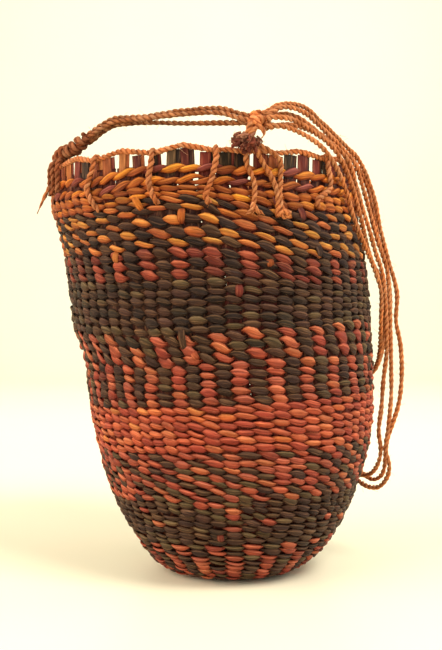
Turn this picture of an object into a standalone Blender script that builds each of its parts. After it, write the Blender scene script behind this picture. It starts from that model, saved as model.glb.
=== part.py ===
"""Dilly bag: a tall, round-bottomed bag twined from dyed leaf strips, leaning a little to one side.

A bark-string border is sewn to its standing strip ends, and a long three-strand handle hangs down its right.

Lengths are in millimetres until they meet a mesh or a curve, where MM turns them into metres.
The origin is the middle of the flat that the bag stands on. +X is right, +Y is away and +Z is up.
An angle round the bag is in degrees, 0 at the front (-Y) and growing towards the right (+X).
"""

import math

import bmesh
import bpy
import numpy as np
from mathutils import Vector

MM = 0.001
WELD = 1e-5

WALL_THICKNESS = 4.0
WALL_TOP = 238.0
WARPS = 62
RING_SPACING = 6.5
FINE_RINGS = 4
WALL_COLUMNS = ("height", "centre_x", "half_width")
WALL_SECTIONS = (
    (0.0, 0.0, 33.0),
    (2.6, 0.0, 44.0),
    (9.0, 0.4, 51.0),
    (16.0, 1.0, 57.5),
    (24.0, 1.4, 63.0),
    (33.0, 1.3, 68.3),
    (43.0, 1.0, 73.0),
    (54.0, 0.6, 77.0),
    (74.0, 1.0, 83.0),
    (101.0, -0.2, 87.5),
    (132.0, -2.3, 88.9),
    (149.0, -6.0, 91.2),
    (166.0, -7.7, 92.1),
    (197.0, -11.5, 93.2),
    (227.0, -17.6, 93.3),
    (WALL_TOP, -18.0, 93.0),
)

STRIP_INSET = 1.5
STRIP_TOP = 244.3
STRIP_UNEVENNESS = 0.7
STRIP_LEAN = 0.5
STRIP_SEED = 7

BORDER_DIAMETER = 2.4
BORDER_HEIGHT = 246.9
BORDER_ARC = 1.4
BORDER_POINTS = 75
STITCH_DIAMETER = 2.3
STITCH_CREST = 246.5
STITCH_CREST_STANDOFF = 0.7
STITCH_SHOULDER = 241.0
STITCH_STANDOFF = 1.7
STITCH_COLUMNS = ("angle", "middle_angle", "foot_angle", "foot_height")
STITCHES = (
    (-40.0, -39.0, -37.0, 215.0),
    (-16.0, -16.5, -14.5, 217.5),
    (4.5, 4.0, 0.5, 217.3),
    (43.5, 48.0, 43.0, 218.0),
    (73.0, 74.0, 75.0, 219.0),
    (97.0, 96.0, 95.0, 216.0),
    (121.0, 121.0, 123.0, 220.0),
    (145.0, 145.5, 144.0, 217.0),
    (169.0, 170.0, 172.0, 219.0),
    (193.0, 192.5, 191.0, 216.0),
    (217.0, 217.0, 219.0, 221.0),
    (241.0, 241.5, 240.0, 218.0),
    (265.0, 266.0, 268.0, 217.0),
)

LASHING_ANGLES = (-62.0, -67.5, -73.0)
LASHING_DIAMETER = 2.5
LASHING_STEP = 3.4
LASHING_COLUMNS = ("height", "standoff")
LASHING_TURN = (
    (229.0, 1.8),
    (238.0, 2.0),
    (246.0, 2.2),
    (249.8, 0.8),
    (251.5, -2.0),
    (249.8, -4.8),
    (246.0, -6.2),
    (236.0, -6.0),
)
NECK_COLUMNS = ("x", "y", "z", "radius")
NECK = (
    (-106.0, -25.0, 252.7, 2.0),
    (-104.0, -31.0, 253.0, 2.9),
    (-101.0, -37.5, 253.1, 3.0),
    (-97.0, -43.0, 254.0, 3.9),
    (-94.0, -46.0, 255.0, 3.4),
    (-91.5, -48.0, 256.0, 4.6),
    (-89.0, -49.8, 257.0, 3.9),
    (-86.5, -51.3, 257.8, 4.5),
    (-84.3, -52.5, 258.4, 3.6),
)
LASHING_TAIL = ((-109.2, -28.0, 233.0), (-111.5, -28.8, 228.0), (-114.5, -30.0, 220.5))
TAIL_DIAMETER = 2.0

KNOT_CENTRE = (10.5, -90.5, 262.0)
KNOT_TURNS = (-1.3, 1.3)
KNOT_TURN_RADIUS = 5.8
KNOT_CORD_RADIUS = 1.5
KNOT_LEGS = (
    ((10.0, -91.5, 256.0), (9.5, -93.5, 250.5), (16.5, 243.0), (15.5, 230.0), (16.5, 216.5)),
    ((12.5, -91.5, 256.0), (15.5, -93.0, 250.5), (24.0, 243.0), (24.0, 229.0), (25.0, 212.5)),
)
LEG_STEP = 4.5
KNOT_CURL = ((12.5, -92.5, 256.2), (16.2, -94.6, 254.3), (16.7, -95.2, 250.8))
CURL_DIAMETER = 1.6
CURL_STEP = 2.0
SMALL_KNOT_RADIUS = 2.3
SMALL_KNOT_STANDOFF = 2.7
TUFT_ROOT = (7.5, -93.6, 255.0)
TUFT_ROOT_RADIUS = 2.7
TUFT_LOCK_RADIUS = 0.9
TUFT_TIPS = (
    (-1.5, -94.5, 251.0),
    (-0.5, -96.0, 254.5),
    (0.5, -97.5, 250.5),
    (2.5, -95.5, 258.0),
    (3.5, -98.5, 252.5),
    (6.5, -99.0, 250.8),
    (11.5, -97.5, 251.5),
)

STRAND_DIAMETER = 2.5
STRAND_STEP = 10.0
STRAND_ROUTES = {
    "handle_strand_1": (
        (-82.5, -51, 260.5), (-68.5, -58.5, 267.5), (-49.5, -66.5, 267.5), (-28, -75.5, 269),
        (-6.5, -84, 268.5), (3, -89, 265), (10.5, -90.5, 263.2), (17.5, -88.5, 266), (25, -81.5, 271),
        (39, -66, 273), (51, -50, 267), (65, -32, 258.5), (76.5, -17, 251), (83, -8.5, 241.5),
        (88, -4, 230), (92, -1.5, 212), (97, 0, 193), (103, 0, 171), (102.5, 0, 153), (105.5, 1, 138),
        (106.5, 2, 119), (105, 3, 102), (101, 5, 87), (97.5, 7, 74), (97, 8, 62), (95.5, 11, 55),
        (91, 20.5, 50.5), (84.5, 34, 55), (79.5, 45.5, 66), (78, 51, 84), (82, 47, 101), (88.5, 36, 114),
        (93, 22, 122.5), (93, 4, 135), (91.5, -9, 151), (91, -12, 172), (85, -19.5, 187), (76, -35.5, 202),
        (70.5, -42.5, 213), (64.5, -50.5, 229), (57.5, -59, 241.5), (49, -67.5, 250.5), (36, -81, 256),
        (25, -90, 258), (16.7, -94.3, 257.4),
    ),
    "handle_strand_2": (
        (-81.5, -56, 258), (-68, -63.5, 264.5), (-49, -71.5, 265.5), (-27.5, -79, 266.5),
        (-6.5, -87, 265.5), (3, -91.3, 262), (10.5, -92.2, 260.3), (17.5, -91.8, 263.5), (26, -86, 268.8),
        (39, -72.5, 268.5), (51, -57.5, 262), (62, -44.5, 254.5), (72, -34, 246), (78, -22, 235),
        (83.5, -14, 221), (89, -11, 203), (96, -4.5, 185), (98, -3, 165), (98.5, -3, 148), (99, -3, 125),
        (99, -3, 105), (97, -3, 84), (96, -2, 73), (98.5, 0, 62), (97.5, 4, 54), (93.5, 12, 47),
        (87, 23, 46), (80, 38, 52), (76.5, 52.5, 66), (74, 57.5, 84), (77.5, 55, 101), (86, 44, 112),
        (94, 30, 121), (95.5, 16, 135), (95.5, 3, 150), (95, 0.5, 172), (92.5, -1.5, 180), (88, -6, 186.5),
        (83.5, -13, 195), (79.8, -22, 203.5), (76, -31.5, 214), (70.5, -40.5, 229), (64, -50, 242),
        (57, -58, 251), (44, -71, 258.5), (31, -85, 262.5), (24, -91.5, 262.3), (16.7, -95.9, 261.4),
    ),
    "handle_strand_3": (
        (-81.5, -52, 256), (-68, -60, 263.3), (-49, -67.5, 264), (-27.5, -76.5, 262), (-6.5, -83, 261),
        (3, -87.3, 260.3), (10.5, -88.9, 260.2), (17, -86.5, 262.5), (26, -80, 266.3), (34, -75, 265.8),
        (43.5, -69, 261), (52, -58, 256.5), (60, -48.5, 253), (66.5, -45, 246.5), (72, -37, 234),
        (76.5, -31, 222), (82, -24.3, 208), (87.5, -15.5, 194), (92, -9, 184), (94.8, -6, 168),
        (95.5, -6, 150), (96, -4, 134), (94.5, -1, 116), (93.5, 0, 99), (91.8, 0, 84), (93, -1, 73),
        (92, 1, 65), (89, 10, 56.5), (84, 21.5, 53), (76, 35.5, 57), (72.5, 47, 69), (70.5, 56, 84),
        (73, 61, 101), (84, 53, 112), (95, 38, 121), (98, 22, 136), (99, 6, 151), (99.5, 4.5, 170),
        (97, 5, 188), (92, 4.5, 205), (89, 4.5, 222), (84.5, 3, 238), (75.5, -5, 251.8), (67, -23, 255),
        (56, -43, 258.5), (44, -61.5, 260.5), (31, -76.5, 261), (22, -83.5, 259), (16.7, -86.6, 257.2),
    ),
}

LEAF = (0.23, 0.08, 0.04)
LEAF_ROUGHNESS = 0.6
BARK = (0.42, 0.15, 0.06)
BARK_ROUGHNESS = 0.8


def rows_of(columns, table):
    """The rows of a table, each with its columns' names."""
    return [dict(zip(columns, row)) for row in table]


def tangents(points, knots):
    """The slope of a smooth curve at each point, from the points on both sides of it."""
    spans = np.diff(knots)[:, None]
    slopes = np.diff(points, axis=0) / spans
    inner = (slopes[:-1] * spans[1:] + slopes[1:] * spans[:-1]) / (spans[1:] + spans[:-1])
    return np.vstack([slopes[:1], inner, slopes[-1:]])


def smooth_curve(points, fineness=12):
    """Many points on one smooth curve through the given ones."""
    points = np.asarray(points, float)
    knots = np.concatenate([[0.0], np.cumsum(np.sqrt(np.linalg.norm(np.diff(points, axis=0), axis=1)))])
    slopes = tangents(points, knots)
    places = []
    for i, span in enumerate(np.diff(knots)):
        for u in np.linspace(0.0, 1.0, fineness, endpoint=False):
            rise = 3 * u**2 - 2 * u**3
            places.append(
                (1 - rise) * points[i]
                + rise * points[i + 1]
                + (u**3 - 2 * u**2 + u) * span * slopes[i]
                + (u**3 - u**2) * span * slopes[i + 1]
            )
    return np.array(places + [points[-1]])


def evenly_spaced(points, step):
    """Points about one step apart along a curve, both ends kept."""
    lengths = np.concatenate([[0.0], np.cumsum(np.linalg.norm(np.diff(points, axis=0), axis=1))])
    count = max(2, round(lengths[-1] / step) + 1)
    wanted = np.linspace(0.0, lengths[-1], count)
    return np.array([np.interp(wanted, lengths, column) for column in points.T]).T


WALL = dict(zip(WALL_COLUMNS, smooth_curve(WALL_SECTIONS).T))


def section_at(height):
    """The wall's middle and half width at a height."""
    return (
        float(np.interp(height, WALL["height"], WALL["centre_x"])),
        float(np.interp(height, WALL["height"], WALL["half_width"])),
    )


def by_wall(angle, height, standoff):
    """A place beside the wall's outer face, standoff away from it (inside where negative)."""
    centre_x, half_width = section_at(height)
    turn = math.radians(angle)
    reach = half_width + standoff
    return (centre_x + reach * math.sin(turn), -reach * math.cos(turn), height)


def material(name, colour, roughness):
    made = bpy.data.materials.new(name)
    made.use_nodes = True
    shader = made.node_tree.nodes["Principled BSDF"]
    shader.inputs["Base Color"].default_value = (*colour, 1.0)
    shader.inputs["Roughness"].default_value = roughness
    shader.inputs["Metallic"].default_value = 0.0
    return made


def finish(piece, name, collection, made_of):
    """Names a piece, gives it its material and puts it in the bag's collection."""
    piece.name = name
    piece.data.name = name
    piece.data.materials.clear()
    piece.data.materials.append(made_of)
    for owner in list(piece.users_collection):
        owner.objects.unlink(piece)
    collection.objects.link(piece)
    return piece


def object_of(bm, name):
    mesh = bpy.data.meshes.new(name)
    bm.to_mesh(mesh)
    bm.free()
    piece = bpy.data.objects.new(name, mesh)
    bpy.context.scene.collection.objects.link(piece)
    return piece


def tube(points, diameter, sides_step=2, radii=None, closed=False):
    """A round cord through the points, as a curve object with filled ends."""
    curve = bpy.data.curves.new("cord", "CURVE")
    curve.dimensions = "3D"
    curve.bevel_depth = diameter / 2 * MM
    curve.bevel_resolution = sides_step
    curve.use_fill_caps = not closed
    spline = curve.splines.new("POLY")
    spline.points.add(len(points) - 1)
    for i, place in enumerate(points):
        spline.points[i].co = (*(Vector(place) * MM), 1.0)
        spline.points[i].radius = radii[i] if radii is not None else 1.0
    spline.use_cyclic_u = closed
    piece = bpy.data.objects.new("cord", curve)
    bpy.context.scene.collection.objects.link(piece)
    return piece


def as_mesh(piece):
    """A curve object turned into a mesh object, its loose caps welded on."""
    bpy.context.view_layer.update()
    shaped = piece.evaluated_get(bpy.context.evaluated_depsgraph_get())
    mesh = bpy.data.meshes.new_from_object(shaped)
    bm = bmesh.new()
    bm.from_mesh(mesh)
    bmesh.ops.remove_doubles(bm, verts=bm.verts, dist=WELD)
    bmesh.ops.recalc_face_normals(bm, faces=bm.faces)
    bm.to_mesh(mesh)
    bm.free()
    solid = bpy.data.objects.new(piece.name, mesh)
    solid.matrix_world = piece.matrix_world
    bpy.context.scene.collection.objects.link(solid)
    bpy.data.objects.remove(piece)
    return solid


def solid_tube(points, diameter, **settings):
    return as_mesh(tube(points, diameter, **settings))


def fused(pieces):
    """One solid from pieces that overlap."""
    base = pieces[0]
    for other in pieces[1:]:
        join = base.modifiers.new("join", "BOOLEAN")
        join.operation = "UNION"
        join.solver = "EXACT"
        join.object = other
    bpy.context.view_layer.update()
    mesh = bpy.data.meshes.new_from_object(base.evaluated_get(bpy.context.evaluated_depsgraph_get()))
    solid = bpy.data.objects.new(base.name, mesh)
    bpy.context.scene.collection.objects.link(solid)
    for piece in pieces:
        bpy.data.objects.remove(piece)
    return solid


def ball(centre, radius):
    bm = bmesh.new()
    bmesh.ops.create_icosphere(bm, subdivisions=2, radius=radius * MM)
    bmesh.ops.translate(bm, verts=bm.verts, vec=Vector(centre) * MM)
    return object_of(bm, "ball")


def cone(root, tip, radius):
    """A four-sided lock of fibre from its root to its tip."""
    root, tip = Vector(root) * MM, Vector(tip) * MM
    way = tip - root
    bm = bmesh.new()
    bmesh.ops.create_cone(
        bm, cap_ends=True, segments=4, radius1=radius * MM, radius2=radius * MM / 2, depth=way.length
    )
    bmesh.ops.rotate(bm, verts=bm.verts, cent=(0, 0, 0), matrix=way.to_track_quat("Z", "Y").to_matrix())
    bmesh.ops.translate(bm, verts=bm.verts, vec=(root + tip) / 2)
    return object_of(bm, "lock")


def turn_of_cord(centre, radius, cord_radius):
    """One turn of cord round the X axis."""
    bpy.ops.mesh.primitive_torus_add(
        major_radius=radius * MM,
        minor_radius=cord_radius * MM,
        major_segments=20,
        minor_segments=8,
        location=Vector(centre) * MM,
        rotation=(0, math.pi / 2, 0),
    )
    ring = bpy.context.object
    bpy.ops.object.transform_apply(location=True, rotation=True, scale=True)
    return ring


def wall_profile():
    """The wall's outline in the (radius, height) plane: up its outer face and down its inner one."""
    rings = evenly_spaced(np.column_stack([WALL["half_width"], WALL["height"]]), RING_SPACING)
    outer = np.vstack([rings[:FINE_RINGS], rings[FINE_RINGS + 1:-1:2], rings[-1:]])
    ways = np.gradient(outer, axis=0)
    ways /= np.linalg.norm(ways, axis=1)[:, None]
    inner = outer + WALL_THICKNESS * np.column_stack([-ways[:, 1], ways[:, 0]])
    inner[0] = (outer[0][0], WALL_THICKNESS)
    inner[-1] = (outer[-1][0] - WALL_THICKNESS, WALL_TOP)
    return np.vstack([[(0.0, 0.0)], outer, inner[::-1], [(0.0, WALL_THICKNESS)]])


def bag_wall(collection, made_of):
    """The twined wall as one hollow shell, its warp strips standing up round the mouth."""
    bm = bmesh.new()
    places = [bm.verts.new((radius * MM, 0.0, height * MM)) for radius, height in wall_profile()]
    edges = [bm.edges.new(pair) for pair in zip(places, places[1:])]
    bmesh.ops.spin(
        bm,
        geom=places + edges,
        cent=(0, 0, 0),
        axis=(0, 0, 1),
        angle=2 * math.pi,
        steps=WARPS,
    )
    bmesh.ops.remove_doubles(bm, verts=bm.verts, dist=WELD)
    bmesh.ops.recalc_face_normals(bm, faces=bm.faces)
    for v in bm.verts:
        v.co.x += section_at(v.co.z / MM)[0] * MM
    rim = [f for f in bm.faces if all(abs(v.co.z - WALL_TOP * MM) < WELD for v in f.verts)]
    bmesh.ops.inset_individual(bm, faces=rim, thickness=STRIP_INSET * MM, use_even_offset=True)
    strips = bmesh.ops.extrude_discrete_faces(bm, faces=rim)["faces"]
    chance = np.random.default_rng(STRIP_SEED)
    for strip in strips:
        rise = STRIP_TOP - WALL_TOP + STRIP_UNEVENNESS * chance.uniform(-1, 1)
        lean = STRIP_LEAN * chance.uniform(-1, 1)
        outward = strip.calc_center_median() - Vector((section_at(WALL_TOP)[0], 0, WALL_TOP)) * MM
        along = Vector((-outward.y, outward.x, 0)).normalized()
        bmesh.ops.translate(bm, verts=strip.verts, vec=(along * lean + Vector((0, 0, rise))) * MM)
    return finish(object_of(bm, "bag_wall"), "bag_wall", collection, made_of)


def border_height(angle, feet):
    """The border string lies lowest where it is stitched down, and rises in a low arc between."""
    before = max((a for a in feet if a <= angle), default=feet[-1] - 360)
    after = min((a for a in feet if a > angle), default=feet[0] + 360)
    share = (angle - before) / (after - before)
    return BORDER_HEIGHT + BORDER_ARC * math.sin(math.pi * share)


def border_string(collection, made_of):
    """A ring of string on the strip ends, with the stitches that hold it down the outside."""
    stitches = rows_of(STITCH_COLUMNS, STITCHES)
    feet = sorted([row["angle"] for row in stitches] + [leg[2][0] for leg in KNOT_LEGS])
    middle = -WALL_THICKNESS / 2

    def on_border(angle):
        x, y, _ = by_wall(angle, WALL_TOP, middle)
        return (x, y, border_height(angle, feet))

    start = feet[0]
    ring = [on_border(start + 360 * i / BORDER_POINTS) for i in range(BORDER_POINTS)]
    pieces = [solid_tube(ring, BORDER_DIAMETER, sides_step=1, closed=True)]
    for row in stitches:
        route = [
            on_border(row["angle"]),
            by_wall(row["angle"], STITCH_CREST, STITCH_CREST_STANDOFF),
            by_wall(row["angle"], STITCH_SHOULDER, STITCH_STANDOFF),
            by_wall(row["middle_angle"], (STITCH_SHOULDER + row["foot_height"]) / 2, STITCH_STANDOFF),
            by_wall(row["foot_angle"], row["foot_height"], STITCH_STANDOFF),
        ]
        pieces.append(solid_tube(route, STITCH_DIAMETER, sides_step=1))
    return finish(fused(pieces), "border_string", collection, made_of)


def left_lashing(collection, made_of):
    """The wrapped ends of the handle: turns over the rim, a bound neck, and a loose tail."""
    rows = rows_of(NECK_COLUMNS, NECK)
    thickest = max(row["radius"] for row in rows)
    neck = solid_tube(
        [(row["x"], row["y"], row["z"]) for row in rows],
        2 * thickest,
        radii=[row["radius"] / thickest for row in rows],
    )
    pieces = [neck]
    for angle in LASHING_ANGLES:
        turn = smooth_curve([by_wall(angle, **row) for row in rows_of(LASHING_COLUMNS, LASHING_TURN)])
        pieces.append(solid_tube(evenly_spaced(turn, LASHING_STEP), LASHING_DIAMETER, sides_step=1))
    pieces.append(solid_tube(LASHING_TAIL, TAIL_DIAMETER, sides_step=1))
    return finish(fused(pieces), "left_lashing", collection, made_of)


def front_knot(collection, made_of):
    """The knot that gathers the handle at the front, its legs sewn down the wall, and its frayed tuft."""
    pieces = []
    for offset in KNOT_TURNS:
        centre = Vector(KNOT_CENTRE) + Vector((offset, 0, 0))
        pieces.append(turn_of_cord(centre, KNOT_TURN_RADIUS, KNOT_CORD_RADIUS))
    for leg in KNOT_LEGS:
        route = [place if len(place) == 3 else by_wall(*place, STITCH_STANDOFF) for place in leg]
        pieces.append(solid_tube(evenly_spaced(smooth_curve(route), LEG_STEP), BORDER_DIAMETER, sides_step=1))
    pieces.append(ball(by_wall(*KNOT_LEGS[1][-1], SMALL_KNOT_STANDOFF), SMALL_KNOT_RADIUS))
    pieces.append(solid_tube(evenly_spaced(smooth_curve(KNOT_CURL), CURL_STEP), CURL_DIAMETER, sides_step=1))
    pieces.append(ball(TUFT_ROOT, TUFT_ROOT_RADIUS))
    for tip in TUFT_TIPS:
        pieces.append(cone(TUFT_ROOT, tip, TUFT_LOCK_RADIUS))
    return finish(fused(pieces), "front_knot", collection, made_of)


def handle_strands(collection, made_of):
    """Three strands, each from the lashing, through the knot, down the right and back to the knot."""
    for name, route in STRAND_ROUTES.items():
        points = evenly_spaced(smooth_curve(route), STRAND_STEP)
        finish(tube(points, STRAND_DIAMETER), name, collection, made_of)


def main():
    for old in list(bpy.data.objects):
        bpy.data.objects.remove(old)
    collection = bpy.data.collections.new("dilly_bag")
    bpy.context.scene.collection.children.link(collection)
    leaf = material("dyed_leaf", LEAF, LEAF_ROUGHNESS)
    bark = material("bark_string", BARK, BARK_ROUGHNESS)
    bag_wall(collection, leaf)
    border_string(collection, bark)
    left_lashing(collection, bark)
    front_knot(collection, bark)
    handle_strands(collection, bark)


main()
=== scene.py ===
"""Dilly bag: the twined wall, string border, knots and handle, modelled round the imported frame.

Lengths are in millimetres until they meet a mesh, where MM turns them into metres. +X is right, +Y is away
and +Z is up. An angle round the bag is 0 at the front (-Y) and grows towards the right.
"""

import functools
import math

import bpy
import numpy as np
from bpy.props import FloatProperty, FloatVectorProperty, PointerProperty
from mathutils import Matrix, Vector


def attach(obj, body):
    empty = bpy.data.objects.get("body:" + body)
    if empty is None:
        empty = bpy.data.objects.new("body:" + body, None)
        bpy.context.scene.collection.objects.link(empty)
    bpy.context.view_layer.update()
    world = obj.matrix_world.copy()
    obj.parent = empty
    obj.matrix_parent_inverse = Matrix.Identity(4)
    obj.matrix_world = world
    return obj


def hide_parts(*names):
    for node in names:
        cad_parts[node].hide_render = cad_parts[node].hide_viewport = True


bl_info = {
    "name": "Dilly Bag",
    "version": (1, 0, 0),
    "blender": (4, 5, 0),
    "location": "View3D > Sidebar > Dilly Bag",
    "description": "A bag twined from dyed leaf strips, with a bark-string border and handle",
    "category": "Object",
}

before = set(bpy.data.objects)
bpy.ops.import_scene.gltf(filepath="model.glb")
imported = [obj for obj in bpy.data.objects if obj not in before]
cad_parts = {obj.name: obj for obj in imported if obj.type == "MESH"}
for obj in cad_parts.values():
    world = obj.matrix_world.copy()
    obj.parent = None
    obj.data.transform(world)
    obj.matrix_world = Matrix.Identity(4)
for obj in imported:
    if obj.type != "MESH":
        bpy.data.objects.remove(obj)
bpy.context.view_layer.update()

MM = 0.001
BODY = "root"

WALL_TOP = 238
# The wall's outer face: height, where the bag's middle is from left to right, and radius
WALL_SECTIONS = (
    (0, 0, 33), (2.6, 0, 44), (9, 0.4, 51), (16, 1, 57.5), (24, 1.4, 63), (33, 1.3, 68.3), (43, 1, 73),
    (54, 0.6, 77), (74, 1, 83), (101, -0.2, 87.5), (132, -2.3, 88.9), (149, -6, 91.2), (166, -7.7, 92.1),
    (197, -11.5, 93.2), (227, -17.6, 93.3), (WALL_TOP, -18, 93),
)
# How far the wall's middle surface lies under its outer face
MIDDLE_DEPTH = 2
# How far the middle surface goes on above the top, for the strips that stand there, and how fine it is
LIFT = 12
WALL_STEP = 0.5
WALL_SMOOTHINGS = 8

# The angle of the warp that faces the viewer, by height
FRONT_WARP = ((12, 0.3), (60, -1), (120, -2.6), (140, -2), (190, -0.3), (213, 1.1), (238, 2.5))
# A row's height at the front, then how much higher it is at each of these angles but the first and the last,
# which are at the back, where it is as high as at the front. On the right the upper rows drop by one row.
RISE_ANGLES = (-180, -60, -40, -20, 0, 5, 30, 40, 60, 180)
ROW_RISES = (
    (9, 0, 0, 0, 0, 0, 0, 0, 0),
    (28, -4, -2.5, -1, 0, 0.1, 0.2, -0.2, -0.9),
    (108, -5.8, -4, -2, 0, 0.9, 1.5, 2.4, 2.8),
    (130, -3.8, -4.5, -2.9, 0, 1.2, 2, 1.2, 0.5),
    (145, -1, -2.7, -2, 0, 1.7, 2.8, 3.8, 6),
    (165, -1, -2, -1.5, 0, 0.2, -0.6, 0.2, 1),
    (181, -1.8, -2.5, -2.5, -0.8, -0.8, -4.3, -4.2, -3.5),
    (190.9, -2.4, -2.3, -1.3, 0, -0.5, -5.4, -5.2, -4.5),
    (196.8, -2.7, -3.6, -0.8, -0.7, -0.3, -6.2, -5.8, -4.4),
    (202.5, -4.4, -3, -1.4, -1.1, -0.9, -6.8, -7.1, -6.1),
    (208.8, -6.6, -5.4, -1.8, 0.3, -1.9, -7.5, -7.9, -5.4),
    (213.7, -5.7, -4.8, -0.8, 1.3, -1.5, -7, -7.5, -5.7),
    (218.2, -6.2, -5.4, -0.8, 0.5, -1.5, -6.7, -6.8, -4.4),
    (221.8, -5.7, -5.2, -1.2, 0.3, -1, -4.9, -4.8, -3.4),
    (225.2, -4.5, -4.4, -1.3, 0.1, -0.8, -3.5, -3.2, -2.6),
    (230, -3.8, -5.5, -1.8, -0.8, -1.4, -2, -2.3, -2),
    (238, -3.5, -6.2, -1.5, -0.5, -0.8, -1, -0.8, -1.5),
)
# How rows wander up and down and how the wall swells, as waves: size, number round the bag, height and start
RISE_WAVES = ((0.375, 3, 26, 0), (0.225, 7, -19, 2), (0.15, 13, 11, 4))
SWELL_WAVES = ((0.2, 5, -23, 1), (0.175, 11, 14, 0))

# Where turns is 1, every second row has its strands the other way round. Fill is a stitch's share of the
# room between rows. Reach is how much longer a strand is in front of its warp than behind it.
BAND_COLUMNS = "piece top bottom rows warps front back turns fill reach tilt stray strays".split()
BANDS = (
    ("top", 235.9, 229.8, 2, 62, "rope", "rope", 0, 0.66, 1, -0.95, "ochre", 0.15),
    ("top", 225.2, 221.8, 2, 62, "ochre", "ochre", 0, 1.06, 0.5, 0.5, "gold", 0.18),
    ("top", 218.2, 218.2, 1, 62, "orange", "umber", 0, 1, 0.7, 0.72, "ochre", 0.08),
    ("top", 213.7, 213.7, 1, 62, "umber", "orange", 0, 1, 0.7, 0.72, "ochre", 0.08),
    ("top", 208.8, 208.8, 1, 62, "orange", "umber", 0, 1, 0.7, 0.72, "ochre", 0.08),
    ("top", 202.5, 202.5, 1, 62, "umber", "orange", 0, 1, 0.7, 0.72, "ochre", 0.08),
    ("upper", 196.8, 196.8, 1, 62, "orange", "umber", 0, 0.96, 0.6, 0.9, "ochre", 0.12),
    ("upper", 190.9, 181, 3, 62, "rust", "umber", 0, 1.05, 0.3, 0.8, "burgundy", 0.1),
    ("upper", 175.9, 150.5, 6, 62, "olive", "olive", 0, 1.08, 0.24, 0.5, "black", 0.22),
    ("upper", 145.4, 135.2, 3, 62, "clay", "olive", 0, 1.08, 0.26, 1.15, "black", 0.07),
    ("middle", 130.3, 111.3, 5, 62, "olive", "clay", 0, 1.1, 0.24, 0.55, "rust", 0.05),
    ("middle", 106.8, 85.2, 6, 62, "brick", "brick", 1, 1.02, 0.62, 0.72, "ember", 0.08),
    ("lower", 81, 56.6, 7, 60, "clay", "olive", 1, 1.04, 0.6, 0.75, "clay", 0.12),
    ("lower", 52.9, 30.4, 7, 54, "olive", "olive", 1, 1.1, 0.3, 0.6, "clay", 0.04),
    ("base", 26.6, 22.7, 2, 40, "olive", "clay", 0, 1.1, 0.24, 0.5, "black", 0.1),
    ("base", 19.2, 9.6, 4, 40, "clay", "olive", 0, 1.1, 0.24, 0.5, "burgundy", 0.1),
)
# The rows under the base, from its middle out
UNDER_ROW = {
    "piece": "base", "height": None, "dyes": ("brick", "olive"), "fill": 1, "reach": 0.2, "tilt": 0.7,
    "stray": "burgundy", "strays": 0.1,
}
UNDER_PITCH = 4.1
UNDER_INNERMOST = 6
UNDER_STITCH = 8.2
UNDER_WARPS = (8, 40)
# Bands whose warps are added two at a time, row by row, by their number of warps
GROWING = (54, 60)
# The orange strips are narrower than the others
SLIM_DYE = "orange"
SLIM_SHARE = 0.8

# How deep the dyes are next to the lit colours below
LEAF_DEPTH = 0.705
BARK_DEPTH = 0.86
# How painted shade darkens a colour: green and blue fall faster than red, so the painted shade stays dark
# and warm
PAINTED_SHADE_POWERS = np.array((1, 1.75, 2.3))
# The painted highlight along a strip's upper edge and its ridges, and where on the section that edge is
HIGHLIGHT_SHARE = 0.28
RIM_LIGHT_AT = 0.13
RIM_LIGHT_FALL = 13.0
# How the dyes look by the light of the room
LEAF_WARMTH = np.array((1, 0.88, 0.74))

# Where along a strand its rings are, counted in warps from the one that it crosses in front
STITCH_STOPS = np.array((-0.62, -0.48, -0.31, -0.11, 0.11, 0.31, 0.48, 0.62, 0.86, 1.14))
# A strand's section, from its top edge over its front: height share, depth share and the painted light and
# shade on its colour
# Above 1 it is a painted highlight on the upper ridge, below 1 painted shade towards the lower edge and at
# the back
STRAND_SECTION = (
    (1, -0.1, 0.75), (0.7, 0.95, 1.45), (0.14, 1, 1), (-0.3, 0.96, 0.92), (-0.74, 0.7, 0.6),
    (-1, -0.2, 0.34), (-0.6, -0.9, 0.35), (0.6, -0.9, 0.35),
)
# The point of the section where the strip folds into a groove, and how deep the groove may be; the same
# share darkens the groove's colour as painted shade
FOLD_POINT = 2
FOLD_DEPTH = (0.8, 1.7)
FOLD_PLACE = (-0.12, 0.36)
# How far out a strand swings, how high it is where it crosses its partner and how pointed its stitches are
STITCH_LOOK = (1.7, 0.6, 1.2)
UNDER_LOOK = (0.85, 0.6, 1.2)
ROPE_LOOK = (1.6, 0.9, 1.7)
# How much single stitches differ: shares of the row's tilt, height and thickness, and how far up and out
TILT_SPREAD = (0.3, 1.7)
HEIGHT_SPREAD = (0.7, 1.18)
THICKNESS_SPREAD = (0.8, 1.2)
UP_SPREAD = (-0.65, 0.65)
OUT_SPREAD = (-0.5, 0.35)
UNDER_OUT_SHARE = 0.3
STITCH_SQUARENESS = 1.5
STITCH_ROLL = 0.46
WEFT_THICKNESS = 0.75
CROSSING_THICKNESS = 0.5
ROPE_HEIGHT = 2.15
# How much of a stitch's length keeps its full height
STITCH_FULLNESS = 1.18
# How far a stitch's top edge is shifted back, and its lower edge forwards, for each millimetre of tilt
STITCH_SHEAR = 0.28
# The warps, counted from the front, whose rope strands are wine red, in the lower row and in the upper one
ROPE_MIDDLE = 233
ROPE_WINE = ((-26, -19, -12, -6, -5, 2, 6, 13, 18, 25), (-28, -21, -15, -9, -3, 0, 5, 11, 17, 23, 29))
# The darkest that painted shade may make a strand's colour
EDGE_SHADE = 0.34
CRISP_ANGLE = math.radians(24)
# How unevenly the warps lie, as a share of the room that each has, and how much they even out row by row
WARP_SPREAD = 0.07
WARP_EVENING = 0.4
WARP_WIDTH = 9.4
WARP_THICKNESS = 0.8
# The painted shade on the warps, which lie in the gaps between the stitches
WARP_SHADE = 0.36
WARP_DYES = {"black": 0.4, "olive": 0.4, "burgundy": 0.2}
WARP_NARROWING = ((215, 1), (228, 0.96))
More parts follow.
